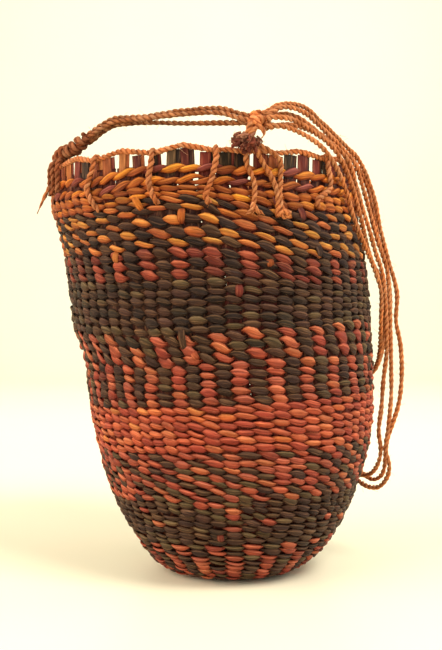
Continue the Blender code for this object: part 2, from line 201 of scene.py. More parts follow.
# How much painted red bounce light the warps get from the brick strips round them, by height
WARP_RED_BOUNCE = (
    (28, 0.2), (56, 0.15), (83, 0.5), (87, 1), (106, 1), (110, 0.25), (146, 0.25), (150, 0.05), (178, 0.05),
    (182, 0.1), (210, 0.12), (222, 0.4), (238, 0.3),
)

STRIP_FOOT = 231.5
STRIP_WIDTH = 5.8
STRIP_THICKNESS = 0.5
# How far the strips' tops are under the border string's middle
STRIP_DROP = 0.9
# How wide the standing strips are beside that, by warp counted from the front: some let light between them
STRIP_SHARES = ((-12, 1), (-6, 1), (-5, 0.76), (-1, 0.76), (1, 1.15), (9, 1.15), (12, 1))
# The painted shade on a standing strip from its foot up, darkest at the foot, and how wide a loose end is
# and the painted shade along it, darker at both ends
STRIP_SHADES = ((0, 0.45), (0.45, 1), (1, 0.9))
END_WIDTHS = ((0, 0.6), (0.3, 1), (0.8, 1), (1, 0.75))
END_SHADES = ((0, 0.45), (0.3, 1), (0.8, 1), (1, 0.6))

# The border's stitches: angle at the rim, halfway down and at the foot, and height of the foot
STITCHES = (
    (-39, -42, -40, 215), (-16, -17, -16.2, 217), (5.2, 3.5, 0.8, 217), (49, 49.8, 41.5, 217.5),
    (73, 74, 75, 219), (97, 96, 95, 216), (121, 121, 123, 220), (145, 145.5, 144, 217), (169, 170, 172, 219),
    (193, 192.5, 191, 216), (217, 217, 219, 221), (241, 241.5, 240, 218), (265, 266, 268, 217),
)
# The border string's height by angle, where the photograph shows it; elsewhere it dips at each stitch
BORDER_LINE = (
    (-73, 244.5), (-62, 243.6), (-50, 245.4), (-40, 242.4), (-28, 246.2), (-16, 243.9), (-6, 247.9),
    (4.8, 244.9), (9.5, 245.6), (15.2, 244.4), (20.5, 245.6), (27, 244.8), (36, 247), (49, 244.8),
    (61, 247.2),
)
BORDER_DIP = 244.6
BORDER_RISE = 2.4
BORDER_DIAMETER = 2.7
BORDER_STEP = 0.95

LASHING_ANGLES = (-62, -67.5, -73)
# One turn of the lashing: height and standoff from the wall
LASHING_TURN = (
    (228, 1.8), (236, 2), (243, 2.2), (246.4, 0.8), (247.6, -2), (246.2, -4.8), (243, -6.2), (235, -6),
)
NECK = (
    (-103.5, -27, 248.6), (-99.8, -37.5, 250.4), (-93.6, -45.5, 252.6), (-88.8, -49.8, 254.6),
    (-84, -52.5, 257.6),
)
LASHING_TAIL = ((-109.2, -28, 233), (-111.5, -28.8, 228), (-114.5, -30, 220.5))
WRAP_RADIUS = 3
WRAP_TURNS = 3.3
WRAP_FROM = 0.12

KNOT_COLUMN = (
    (17.2, -87, 259.5), (15.4, -89.5, 262.4), (12.2, -92, 262), (10.4, -93.2, 258.5), (8.8, -93.6, 254.5),
    (7.4, -93.8, 250),
)
# The knot's own strands, and the share of its length that is wrapped
KNOT_STRANDS = 4
KNOT_RADIUS = 1.7
KNOT_WRAPPED = (0.34, 0.6)
# The legs: places, then angles and heights on the wall
KNOT_LEGS = (
    ((8, -93.5, 252), (6.4, -94.6, 246.5), (15.2, 238), (17.5, 228), (16, 216), (15.6, 213.5)),
    ((9.5, -93, 252), (11, -94.4, 246), (20.5, 239.5), (24.6, 228), (25, 221), (23.5, 210)),
    ((12.5, -90.5, 248), (17.5, -91.6, 245.4), (27, 240.5), (27, 231), (25.9, 221), (25.6, 214)),
)
LEG_STANDOFF = 1.5
LEG_SPLAY = (-1.9, -0.6, 0.9, 2)
SMALL_KNOT = (25.5, 211.5, 2)
KNOT_CURL = (
    (9.5, -94, 254), (12, -95.6, 256.8), (14.8, -96.2, 255.6), (15.8, -96.2, 252.6), (14.4, -96, 250.4),
)
TUFT_ROOT = (9.7, -94, 252.3)
TUFT_TIPS = (
    (0.7, -95.5, 251.9), (0.1, -95.8, 249.7), (1.1, -97, 247.3), (3.7, -97.8, 245.9), (4.9, -97.4, 249.7),
    (7.3, -97.2, 245.3), (8.9, -97.4, 248.3), (10.9, -96.8, 245.9), (12.9, -96, 247.7), (4.5, -96.4, 244.3),
    (8.1, -96.2, 243.7), (11.7, -95.8, 244.3),
)
# How many locks end near each of these tips, and how thick one is from its foot to its tip
TUFT_LOCKS = 6
LOCK_RADII = ((0, 1), (0.7, 1.1), (1, 0.5))

# A ply's radius and how far it swings out, as shares of the string's diameter
STRING_PLY = 0.41
STRING_SWING = 0.23
PLIES = 2
PLY_SIDES = 6
PLY_PALE = 0.45
STRING_STEP = 0.9
FINE_STEP = 0.7
STRAND_DIAMETER = 2.5
# How light the handle's strings are, from left to right: painted shade on the left and painted light on the
# right
STRAND_PAINTED_LIGHT = ((-85, 0.56), (-45, 0.56), (0, 0.68), (15, 0.88), (60, 0.94), (85, 1.1))
STRAND_ROUTES = {
    "handle_strand_1": (
        (-82.5, -51, 260.5), (-68.5, -58.5, 267.5), (-49.5, -66.5, 267.5), (-28, -75.5, 269),
        (-6.5, -84, 268.5), (3, -89, 265), (10.5, -90.5, 263.2), (17.5, -88.5, 266), (25, -81.5, 271),
        (39, -66, 273), (51, -50, 267), (65, -32, 258.5), (76.5, -17, 251), (83, -8.5, 241.5), (88, -4, 230),
        (92, -1.5, 212), (97, 0, 193), (103, 0, 171), (102.5, 0, 153), (105.5, 1, 138), (106.5, 2, 119),
        (105, 3, 102), (101, 5, 87), (97.5, 7, 74), (97, 8, 62), (95.5, 11, 55), (91, 20.5, 50.5),
        (84.5, 34, 55), (79.5, 45.5, 66), (78, 51, 84), (82, 47, 101), (88.5, 36, 114), (93, 22, 122.5),
        (93, 4, 135), (91.5, -9, 151), (91, -12, 172), (85, -19.5, 187), (76, -35.5, 202),
        (70.5, -42.5, 213), (64.5, -50.5, 229), (57.5, -59, 241.5), (49, -67.5, 250.5), (36, -81, 256),
        (25, -90, 258), (16.7, -94.3, 257.4),
    ),
    "handle_strand_2": (
        (-81.5, -56, 258), (-68, -63.5, 264.5), (-49, -71.5, 265.5), (-27.5, -79, 266.5), (-6.5, -87, 265.5),
        (3, -91.3, 262), (10.5, -92.2, 260.3), (17.5, -91.8, 263.5), (26, -86, 268.8), (39, -72.5, 268.5),
        (51, -57.5, 262), (62, -44.5, 254.5), (72, -34, 246), (78, -22, 235), (83.5, -14, 221),
        (89, -11, 203), (96, -4.5, 185), (98, -3, 165), (98.5, -3, 148), (99, -3, 125), (99, -3, 105),
        (97, -3, 84), (96, -2, 73), (98.5, 0, 62), (97.5, 4, 54), (93.5, 12, 47), (87, 23, 46), (80, 38, 52),
        (76.5, 52.5, 66), (74, 57.5, 84), (77.5, 55, 101), (86, 44, 112), (94, 30, 121), (95.5, 16, 135),
        (95.5, 3, 150), (95, 0.5, 172), (92.5, -1.5, 180), (88, -6, 186.5), (83.5, -13, 195),
        (79.8, -22, 203.5), (76, -31.5, 214), (70.5, -40.5, 229), (64, -50, 242), (57, -58, 251),
        (44, -71, 258.5), (31, -85, 262.5), (24, -91.5, 262.3), (16.7, -95.9, 261.4),
    ),
    "handle_strand_3": (
        (-81.5, -52, 256), (-68, -60, 263.3), (-49, -67.5, 264), (-27.5, -76.5, 262), (-6.5, -83, 261),
        (3, -87.3, 260.3), (10.5, -88.9, 260.2), (17, -86.5, 262.5), (26, -80, 266.3), (34, -75, 265.8),
        (43.5, -69, 261), (52, -58, 256.5), (60, -48.5, 253), (66.5, -45, 246.5), (72, -37, 234),
        (76.5, -31, 222), (82, -24.3, 208), (87.5, -15.5, 194), (92, -9, 184), (94.8, -6, 168),
        (95.5, -6, 150), (96, -4, 134), (94.5, -1, 116), (93.5, 0, 99), (91.8, 0, 84), (93, -1, 73),
        (92, 1, 65), (89, 10, 56.5), (84, 21.5, 53), (76, 35.5, 57), (72.5, 47, 69), (70.5, 56, 84),
        (73, 61, 101), (84, 53, 112), (95, 38, 121), (98, 22, 136), (99, 6, 151), (99.5, 4.5, 170),
        (97, 5, 188), (92, 4.5, 205), (89, 4.5, 222), (84.5, 3, 238), (75.5, -5, 251.8), (67, -23, 255),
        (56, -43, 258.5), (44, -61.5, 260.5), (31, -76.5, 261), (22, -83.5, 259), (16.7, -86.6, 257.2),
    ),
}

CURVE_STEPS = 12
# How many millimetres along a strip make one unit of its UV map
UV_LENGTH = 10
HAIRLESS_SHARE = 0.35

CAMERA_PLACE = (-6.9, -620, 160)
CAMERA_DROP = math.atan(15 / 992)
LENS = 36 * 992 / 650
BAG_MIDDLE = (0, 0, 0.12)
# Each light, in metres: the setting of its power, place, what it is turned to, size and colour
LIGHTS = {
    "key": ("key_power", (0.86, -0.9, 1.66), BAG_MIDDLE, 0.75, (1, 0.93, 0.82)),
    "fill": ("fill_power", (-1.3, -0.8, 0.9), BAG_MIDDLE, 1.4, (1, 0.86, 0.72)),
    "backdrop_light": ("back_power", (0, 0.7, 1.3), (0, 2.4, 0.5), 1.5, (1, 0.98, 0.92)),
    "left_light": ("side_power", (-1.1, 0.2, 0.35), BAG_MIDDLE, 0.5, (1, 0.6, 0.36)),
    "right_light": ("side_power", (1.1, 0.15, 0.4), BAG_MIDDLE, 0.5, (1, 0.8, 0.72)),
}
SKY = (1, 0.97, 0.88, 1)


def linear(text):
    """Shader colours from the usual six-digit ones."""
    made = []
    for word in text.split():
        parts = [int(word[i:i + 2], 16) / 255 for i in (0, 2, 4)]
        made.append([p / 12.92 if p <= 0.04045 else ((p + 0.055) / 1.055) ** 2.4 for p in parts])
    return np.array(made)


DYES = {
    "ochre": linear("AC5C20 A2541C B06822 984E20 A65A26"),
    "gold": linear("D88028 CC7224 DC8C2A C06826 D07A2C"),
    "orange": linear("C27838 C07A32 B86A34 BC7E38 B06034"),
    "brick": linear("B8553A BE6040 AC4A36 C26A46 A24232 B85A40"),
    "clay": linear("AA503A B05A40 9E4634 B2603F 963E30 A85240"),
    "rust": linear("8E3F2F 803629 984531 6E2D23"),
    "ember": linear("CC6C3A C8663A D07A44"),
    "olive": linear("442C20 4B3423 50402A 38251A 472D25 38231E 4A3324 55442F"),
    "umber": linear("392218 2D1B15 40271B 271713 452E1D 311F19"),
    "wine": linear("84403A 7A3630"),
    "burgundy": linear("6C2A24 7A3028 5A221D 702E2D"),
    "brown": linear("8E4B2C 7E3C24 A05A34"),
    "black": linear("261913 2D201A 33291D"),
    "tan": linear("B97B4A A86A3C"),
}
BARK, BARK_PALE, BARK_DARK = linear("D8834A EEB88A 8E4824")
# The tuft's dark fibre colour; its pale fibre colour, also used as the painted highlight on its upper locks;
# and the colour of the painted highlight lines on the leaf strips
FIBRE_DARK, TUFT_PALE_AND_HIGHLIGHT, LEAF_HIGHLIGHT = linear("7A3826 CC8E70 8A6444")
BORDER_TINT = BARK * np.array((0.92, 0.8, 0.72))

# The dyes of the two strips that stand up at each warp, from eleven left of the front to eight right of it
RIM_DYES = {place: pair.split() for place, pair in enumerate((
    "brown tan", "tan burgundy", "burgundy brown", "black olive", "brown tan", "brown burgundy", "tan brown",
    "burgundy brown", "black burgundy", "olive black", "burgundy olive", "burgundy black", "black burgundy",
    "black burgundy", "burgundy brown", "brown burgundy", "black olive", "burgundy black", "burgundy black",
    "black brown",
), -11)}
RIM_DYES_ELSEWHERE = ("burgundy", "olive", "brown", "black", "burgundy", "tan")

# Loose ends of strip that lie up the wall: angle and height of the tip and of the foot, and dye
LOOSE_ENDS = (
    (-7.8, 214, -9.2, 206, "gold"), (-23.5, 222, -21.5, 213, "gold"), (-35, 192, -36, 185.5, "orange"),
    (18.2, 187.5, 18.4, 183, "ochre"), (-13.8, 151, -15, 138, "olive"), (7, 173.5, 6.5, 167, "burgundy"),
    (-7.2, 35.5, -6.8, 31, "rust"), (-12.2, 138, -10.8, 133.5, "brick"), (33.5, 216, 34, 208.5, "burgundy"),
    (24.5, 222, 25, 213.5, "burgundy"), (38, 196, 38.6, 189, "olive"), (95, 180, 96, 169, "brick"),
    (140, 120, 141, 110, "olive"), (200, 200, 199, 190, "ochre"), (250, 96, 251, 86, "olive"),
)


def tangents(points, knots):
    """The slope of a smooth curve at each point, from the points on both sides of it."""
    spans = np.diff(knots)[:, None]
    slopes = np.diff(points, axis=0) / spans
    inner = (slopes[:-1] * spans[1:] + slopes[1:] * spans[:-1]) / (spans[1:] + spans[:-1])
    return np.vstack([slopes[:1], inner, slopes[-1:]])


def smooth_curve(points):
    """Many points on one smooth curve through the given ones."""
    points = np.asarray(points, float)
    knots = np.concatenate([[0.0], np.cumsum(np.sqrt(np.linalg.norm(np.diff(points, axis=0), axis=1)))])
    slopes = tangents(points, knots)
    places = []
    for i, span in enumerate(np.diff(knots)):
        for u in np.linspace(0.0, 1.0, CURVE_STEPS, endpoint=False):
            rise = 3 * u**2 - 2 * u**3
            places.append(
                (1 - rise) * points[i]
                + rise * points[i + 1]
                + (u**3 - 2 * u**2 + u) * span * slopes[i]
                + (u**3 - u**2) * span * slopes[i + 1]
            )
    return np.array(places + [points[-1]])


def lengths_along(points):
    return np.concatenate([[0.0], np.cumsum(np.linalg.norm(np.diff(points, axis=0), axis=1))])


def evenly_spaced(points, step):
    """Points about one step apart along a curve, both ends kept."""
    lengths = lengths_along(points)
    wanted = np.linspace(0.0, lengths[-1], max(2, round(lengths[-1] / step) + 1))
    return np.array([np.interp(wanted, lengths, column) for column in points.T]).T


def shares_along(points):
    return lengths_along(points) / lengths_along(points)[-1]


def course(points, step):
    """Points about one step apart on a smooth curve through the given ones."""
    return evenly_spaced(smooth_curve(points), step)


def unit(vectors):
    return vectors / np.maximum(np.linalg.norm(vectors, axis=-1, keepdims=True), 1e-9)


def direction(line):
    return unit(np.gradient(line, axis=0))


def square_to(way, vectors):
    """The direction of the part of each vector that is square to a way."""
    return unit(vectors - way * np.sum(vectors * way, axis=1, keepdims=True))


def by_stops(value, stops):
    """What a list of stops gives at a value, with straight lines between them."""
    return np.interp(value, *zip(*stops))


WALL_OUTLINE = smooth_curve(WALL_SECTIONS)


class Wall:
    """The middle surface of the bag's wall, by the way along its outline from the middle of the base."""

    def __init__(self):
        flat = [(0, 0, radius) for radius in np.linspace(0, WALL_SECTIONS[0][2], 30, endpoint=False)]
        outer = np.vstack([flat, WALL_OUTLINE, (WALL_TOP + LIFT, *WALL_OUTLINE[-1, 1:])])
        line = evenly_spaced(outer[:, [2, 0, 1]], WALL_STEP)
        way = direction(line[:, :2])
        for _ in range(WALL_SMOOTHINGS):
            way[1:-1] = (way[:-2] + way[1:-1] + way[2:]) / 3
        way = unit(way)
        self.out_radius, self.out_height = way[:, 1], -way[:, 0]
        self.radius = np.maximum(line[:, 0] - MIDDLE_DEPTH * self.out_radius, 0.0)
        self.height = line[:, 1] - MIDDLE_DEPTH * self.out_height
        self.centre_x = line[:, 2]
        self.along = lengths_along(np.column_stack([self.radius, self.height]))
        self.rising = slice(np.searchsorted(line[:, 1], 1.0), None)

    def way_to(self, height):
        return np.interp(height, self.height[self.rising], self.along[self.rising])

    def at(self, name, along):
        return np.interp(along, self.along, getattr(self, name))

    def place(self, angle, along, out):
        """Places by angle, the way up the outline and the distance out of the middle surface."""
        reach = self.at("radius", along) + out * self.at("out_radius", along)
        height = self.at("height", along) + out * self.at("out_height", along)
        x = self.at("centre_x", along) + reach * np.sin(angle)
        return np.stack(np.broadcast_arrays(x, -reach * np.cos(angle), height), axis=-1)

    def outward(self, angle, along):
        flat = self.at("out_radius", along)
        parts = (flat * np.sin(angle), -flat * np.cos(angle), self.at("out_height", along))
        return np.stack(np.broadcast_arrays(*parts), axis=-1)


WALL = Wall()


def border_height(angle):
    """The height of the border string's middle at an angle in degrees."""
    first, last = BORDER_LINE[0][0], BORDER_LINE[-1][0]
    angle = (angle - first) % 360 + first
    if angle <= last:
        return float(by_stops(angle, BORDER_LINE))
    dips = [last, *(row[0] for row in STITCHES if row[0] > last), first + 360]
    before = max(dip for dip in dips if dip <= angle)
    after = min(dip for dip in dips if dip > angle)
    return BORDER_DIP + BORDER_RISE * math.sin(math.pi * (angle - before) / (after - before))


def by_wall(angle, height, standoff):
    """A place beside the wall's outer face, standoff away from it (inside where negative)."""
    heights, centres, reaches = WALL_OUTLINE.T
    reach = np.interp(height, heights, reaches) + standoff
    turn = math.radians(angle)
    return np.interp(height, heights, centres) + reach * math.sin(turn), -reach * math.cos(turn), height


def put(name, data):
    """A new object in the scene."""
    made = bpy.data.objects.new(name, data)
    bpy.context.scene.collection.objects.link(made)
    return made


class Strips:
    """Collects tubes and strips as rings of points, then makes them one mesh with a UV map and a tint."""

    def __init__(self):
        self.places, self.corners, self.sizes, self.marks, self.tints = [], [], [], [], []
        self.count = 0

    def loft(self, rings, lengths, tints, shift=0, closed=False):
        """One tube. rings is (n, sides, 3). A closed one has one more value in lengths than it has rings."""
        n, sides = rings.shape[:2]
        along = lengths / UV_LENGTH + shift
        self.places.append(rings.reshape(-1, 3))
        tints = np.asarray(tints)
        if tints.ndim < 3:
            tints = np.broadcast_to(tints, (n, 3))[:, None, :]
        self.tints.append(np.broadcast_to(tints, (n, sides, 3)).reshape(-1, 3))
        i, j = np.indices((n if closed else n - 1, sides)).reshape(2, -1)
        here, there, beside = i * sides, (i + 1) % n * sides, (j + 1) % sides
        quads = np.stack([here + j, here + beside, there + beside, there + j], axis=1)
        u0, u1, v0, v1 = along[i], along[i + 1], j / sides, (j + 1) / sides
        self.corners.append(quads.ravel() + self.count)
        self.sizes.append(np.full(len(quads), 4))
        self.marks.append(np.stack([u0, v0, u0, v1, u1, v1, u1, v0], axis=1).reshape(-1, 2))
        if not closed:
            order = np.arange(sides)
            for ring, order in ((0, order[::-1]), (n - 1, order)):
                self.corners.append(ring * sides + order + self.count)
                self.sizes.append(np.array([sides]))
                self.marks.append(np.column_stack([np.full(sides, along[ring]), order / sides]))
        self.count += n * sides

    def piece(self, name, slot, *nodes, crisp=False):
        """The collected shapes as one piece that stands for these nodes. Crisp ones keep their folds."""
        places = np.vstack(self.places) * MM
        corners = np.concatenate(self.corners).astype(np.int32)
        sizes = np.concatenate(self.sizes)
        mesh = bpy.data.meshes.new(name)
        mesh.vertices.add(len(places))
        mesh.vertices.foreach_set("co", places.astype(np.float32).ravel())
        mesh.loops.add(len(corners))
        mesh.loops.foreach_set("vertex_index", corners)
        mesh.polygons.add(len(sizes))
        starts = np.concatenate([[0], np.cumsum(sizes)[:-1]])
        mesh.polygons.foreach_set("loop_start", starts.astype(np.int32))
        mesh.polygons.foreach_set("use_smooth", np.ones(len(sizes), bool))
        mesh.update(calc_edges=True)
        marks = mesh.uv_layers.new(name="strip")
        marks.data.foreach_set("uv", np.vstack(self.marks).astype(np.float32).ravel())
        tint = mesh.color_attributes.new("tint", "FLOAT_COLOR", "POINT")
        shades = np.column_stack([np.vstack(self.tints), np.ones(len(places))])
        tint.data.foreach_set("color", np.clip(shades, 0.0, 1.0).astype(np.float32).ravel())
        mesh.validate()
        if crisp:
            mesh.set_sharp_from_angle(angle=CRISP_ANGLE)
        mesh.materials.append(finish(slot))
        made = put(name, mesh)
        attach(made, BODY)
        if nodes:
            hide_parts(*nodes)
        return made


def carried_frames(line):
    """A line's direction and two across it at each of its points, turning as little as they can."""
    way = direction(line)
    side = np.cross(way[0], (0, 0, 1))
    if np.linalg.norm(side) < 0.1:
        side = np.cross(way[0], (1, 0, 0))
    sides = []
    for step in way:
        side = side - step * (side @ step)
        side = side / np.linalg.norm(side)
        sides.append(side)
    return way, np.array(sides), np.cross(way, sides)


def wound(frames, turn):
    """The direction across a line at each of its points, turned round it by an angle."""
    return np.cos(turn)[:, None] * frames[1] + np.sin(turn)[:, None] * frames[2]


def circles(sides, first, second):
    """A unit circle at each point of a line, from two directions across it."""
    turn = (np.arange(sides) * math.tau / sides)[None, :, None]
    return np.cos(turn) * first[:, None, :] + np.sin(turn) * second[:, None, :]


def wander(lengths, step, low, high, chance):
    """A value that wanders between low and high along a line, with a new aim every step."""
    stops = np.arange(0.0, lengths[-1] + 2 * step, step)
    return np.interp(lengths, stops, chance.uniform(low, high, len(stops)))


def add_tube(strips, line, radii, tints, sides):
    """A tube along a line."""
    rings = line[:, None, :] + radii[:, None, None] * circles(sides, *carried_frames(line)[1:])
    strips.loft(rings, lengths_along(line), tints)


def add_string(strips, line, diameter, tint, chance, lay=7.5, taper=0):
    """A string of plies twisted round each other along a line of evenly spaced points."""
    lengths = lengths_along(line)
    frames = carried_frames(line)
    plump = wander(lengths, 4, 0.88, 1.14, chance)
    if taper:
        plump = plump * np.clip((lengths[-1] - lengths) / taper, 0.22, 1.0)
    start = chance.uniform(0, math.tau)
    # Painted shade on each ply's sides and inner face, where the plies meet in the string's grooves
    facing = np.cos(np.arange(PLY_SIDES) * math.tau / PLY_SIDES)
    ply_shade = (0.36 + 0.64 * np.clip(0.5 + 0.75 * facing, 0.0, 1.0))[None, :, None]
    for ply in range(PLIES):
        offset = wound(frames, start + math.tau * (ply / PLIES + lengths / lay))
        centre = line + offset * (STRING_SWING * diameter * plump)[:, None]
        way = direction(centre)
        across = square_to(way, offset)
        radii = (STRING_PLY * diameter * plump)[:, None, None]
        rings = centre[:, None, :] + radii * circles(PLY_SIDES, across, np.cross(way, across))
        pale = wander(lengths, 7, 0, 1, chance)[:, None] ** 1.6
        shade = wander(lengths, 5, 0.72, 1.12, chance)[:, None]
        own = (tint * (1 - PLY_PALE * pale) + BARK_PALE * PLY_PALE * pale) * shade
        strips.loft(rings, lengths, own[:, None, :] * ply_shade ** PAINTED_SHADE_POWERS, shift=ply * 3.7)


def add_hairs(strips, line, reach, gap, chance, tint):
    """Fine loose fibres that stand off a string."""
    way, first, second = carried_frames(line)
    lengths = lengths_along(line)
    share = np.linspace(0, 1, 5)[:, None]
    for at in np.arange(gap * chance.uniform(), lengths[-1], gap):
        if chance.uniform() < HAIRLESS_SHARE:
            continue
        i = min(int(np.searchsorted(lengths, at)), len(line) - 1)
        turn = chance.uniform(0, math.tau)
        out = math.cos(turn) * first[i] + math.sin(turn) * second[i]
        long = reach * chance.uniform(0.5, 1.6)
        lean = way[i] * chance.uniform(-1, 1) + chance.normal(0, 0.25, 3)
        hair = line[i] + out * (1 + long * share) + lean * long * share**1.7
        add_tube(strips, hair, np.linspace(0.13, 0.05, 5), tint * chance.uniform(0.6, 1.2), sides=3)


class Wire:
    """A number in a shader that can be added, subtracted and multiplied, each with a Math node."""

    def __init__(self, shader, socket):
        self.shader, self.socket = shader, socket

    def maths(self, operation, first, second):
        node = self.shader.node("Math", {0: first, 1: second}, operation=operation)
        return Wire(self.shader, node.outputs[0])

    def __add__(self, other):
        return self.maths("ADD", self, other)

    def __mul__(self, other):
        return self.maths("MULTIPLY", self, other)

    def __sub__(self, other):
        return self.maths("SUBTRACT", self, other)

    def __rsub__(self, other):
        return self.maths("SUBTRACT", other, self)

    def at_least(self, other):
        return self.maths("MAXIMUM", self, other)

    __radd__ = __add__
    __rmul__ = __mul__


class Shader:
    """One node material."""

    def __init__(self, name):
        self.material = bpy.data.materials.new(name)
        self.material.use_nodes = True
        self.tree = self.material.node_tree
        self.surface = self.tree.nodes["Principled BSDF"]

    def node(self, kind, sockets=None, **settings):
        made = self.tree.nodes.new("ShaderNode" + kind)
        for key, value in settings.items():
            setattr(made, key, value)
        return self.feed(made, sockets or {})

    def feed(self, node, sockets):
        """Links sockets and wires to a node's inputs, and sets the other values on them."""
        for key, value in sockets.items():
            value = value.socket if isinstance(value, Wire) else value
            if isinstance(value, bpy.types.NodeSocket):
                self.tree.links.new(value, node.inputs[key])
            else:
                node.inputs[key].default_value = value
        return node

    def vectors(self, operation, sockets):
        return self.node("VectorMath", sockets, operation=operation).outputs[0]

    def brighter(self, colour, factor):
        return self.vectors("SCALE", {"Vector": colour, "Scale": factor})

    def place(self):
        return self.node("TexCoord").outputs["Object"]

    def noise(self, vector, scale, detail, roughness=0.5):
        sockets = {"Vector": vector, "Scale": scale, "Detail": detail, "Roughness": roughness}
        return Wire(self, self.node("TexNoise", sockets).outputs["Fac"])

    def streaks(self, strip, stretch, scale, detail, roughness):
        """Noise drawn out along the strip."""
        return self.noise(self.vectors("MULTIPLY", {0: strip, 1: stretch}), scale, detail, roughness)

    def done(self, colour, roughness, height, strength, depth, gloss):
        """The material, with its tinted colour and its bumps."""
        bump = self.node("Bump", {"Height": height, "Strength": strength, "Distance": depth}).outputs[0]
        self.feed(self.surface, {
            "Base Color": colour, "Roughness": roughness, "Normal": bump, "Specular IOR Level": gloss,
        })
        return self.material


def leaf_finish():
    """Dyed leaf strip: streaked lengthwise, creased, with a slight gloss."""
    shader = Shader("dyed_leaf")
    tint = shader.node("Attribute", attribute_name="tint").outputs["Color"]
    strip = shader.node("UVMap", uv_map="strip").outputs[0]
    streaks = shader.streaks(strip, (0.35, 6, 1), 1.7, 3, 0.6)
    creases = shader.streaks(strip, (0.4, 5, 1), 2.3, 1, 0.5)
    mottle = shader.noise(shader.place(), 140, 2, 0.6)
    across = Wire(shader, shader.node("SeparateXYZ", {0: strip}).outputs["Y"])
    # Painted highlight lines added onto the tint: along the upper edge where the creases run, and along the
    # palest streaks
    rim = (1 - (across - RIM_LIGHT_AT).at_least(RIM_LIGHT_AT - across) * RIM_LIGHT_FALL).at_least(0)
    highlight = rim * (creases * 2.6 - 0.6).at_least(0) + ((streaks - 0.54) * 8).at_least(0)
    lines = shader.brighter(tuple(LEAF_HIGHLIGHT), highlight * HIGHLIGHT_SHARE)
    shade = (streaks * 2 + creases * 0.8 + mottle * 0.7 - 0.72) * LEAF_DEPTH
    colour = shader.vectors("ADD", {0: shader.brighter(tint, shade), 1: lines})
    roughness = 0.4 + creases * 0.2 + mottle * 0.1
    return shader.done(colour, roughness, streaks * 1.2 + creases * 1.5, 0.8, 0.0008, 0.16)


def bark_finish():
    """Rolled bark-fibre string: fine fibres along each ply, matt."""
    shader = Shader("bark_string")
    tint = shader.node("Attribute", attribute_name="tint").outputs["Color"]
    strip = shader.node("UVMap", uv_map="strip").outputs[0]
    fibres = shader.streaks(strip, (2.2, 7, 1), 2, 3, 0.65)
    mottle = shader.noise(shader.place(), 220, 2, 0.6)
    colour = shader.brighter(tint, (fibres * 1.8 + mottle * 0.9 - 0.34) * BARK_DEPTH)
    return shader.done(colour, 0.6 + fibres * 0.25, fibres * 1.2 + mottle * 0.4, 0.7, 0.0005, 0.15)


@functools.cache
def finish(slot):
    """Each slot's material is made once and shared by its pieces."""
    return leaf_finish() if slot == "dyed_leaf" else bark_finish()


def rows_of_bag():
    """Every twined row from the base up: its way along the wall, number of warps, strands and looks."""
    rows = []
    for band in BANDS:
        band = dict(zip(BAND_COLUMNS, band))
        for i, height in enumerate(np.linspace(band["top"], band["bottom"], band["rows"])):
            dyes = (band["front"], band["back"])[::-1 if band["turns"] and i % 2 else 1]
            rows.append({**band, "height": height, "along": WALL.way_to(height), "dyes": dyes})
    rows.reverse()
    under = []
    for along in np.arange(UNDER_INNERMOST, rows[0]["along"] - UNDER_PITCH * 0.6, UNDER_PITCH):
        count = 2 * round(math.pi * WALL.at("radius", along) / UNDER_STITCH)
        under.append({**UNDER_ROW, "along": along, "warps": int(np.clip(count, *UNDER_WARPS))})
    rows = under + rows
    count = 0
    for i, row in enumerate(rows):
        wanted = min(row["warps"], count + 2) if row["warps"] in GROWING else row["warps"]
        row["warps"] = count = max(count, wanted)
        row["beside"] = rows[max(i - 1, 0)], rows[min(i + 1, len(rows) - 1)]
        row["steps"] = 1 if i in (0, len(rows) - 1) else 2
    return rows


def lay_warps(rows):
    """The angle of each warp at each row, and which warp it is, with new ones let into the widest gaps."""
    chance = np.random.default_rng(11)
    count = rows[0]["warps"]
    angles = np.arange(count) * math.tau / count
    names = list(range(count))
    laid = []
    for row in rows:
        while len(names) < row["warps"]:
            gaps = np.diff(np.append(angles, angles[0] + math.tau))
            widest = int(np.argmax(gaps * chance.uniform(0.85, 1.15, len(gaps))))
            angles = np.insert(angles, widest + 1, angles[widest] + gaps[widest] / 2)
            names.insert(widest + 1, max(names) + 1)
        for _ in range(3):
            before = np.append(angles[-1] - math.tau, angles[:-1])
            after = np.append(angles[1:], angles[0] + math.tau)
            angles = angles + WARP_EVENING * ((before + after) / 2 - angles)
        angles = angles + chance.normal(0, WARP_SPREAD, len(angles)) * math.tau / len(angles)
        angles = angles - angles[0]
        laid.append((list(names), angles + math.radians(by_stops(row["height"] or 0, FRONT_WARP))))
    return laid


def ripple(waves, angle, height):
    return sum(size * np.sin(count * angle + height / tall + start) for size, count, tall, start in waves)


def row_way(row, angle):
    """The way along the wall of a row at an angle: rows aren't level all round."""
    if row["height"] is None:
        return np.full_like(angle, row["along"])
    heights, *columns = zip(*ROW_RISES)
    rises = [0, *(np.interp(row["height"], heights, column) for column in columns), 0]
    turned = (np.degrees(angle) + 180) % 360 - 180
    rise = np.interp(turned, RISE_ANGLES, rises)
    return WALL.way_to(row["height"] + rise + ripple(RISE_WAVES, angle, row["height"]))


def dyed(name, chance, count=1):
    """Colours for a run of stitches of one dye, each a little different."""
    colours = DYES[name][chance.integers(0, len(DYES[name]), count)]
    return colours * chance.uniform(0.82, 1.12, (count, 1)) * LEAF_WARMTH


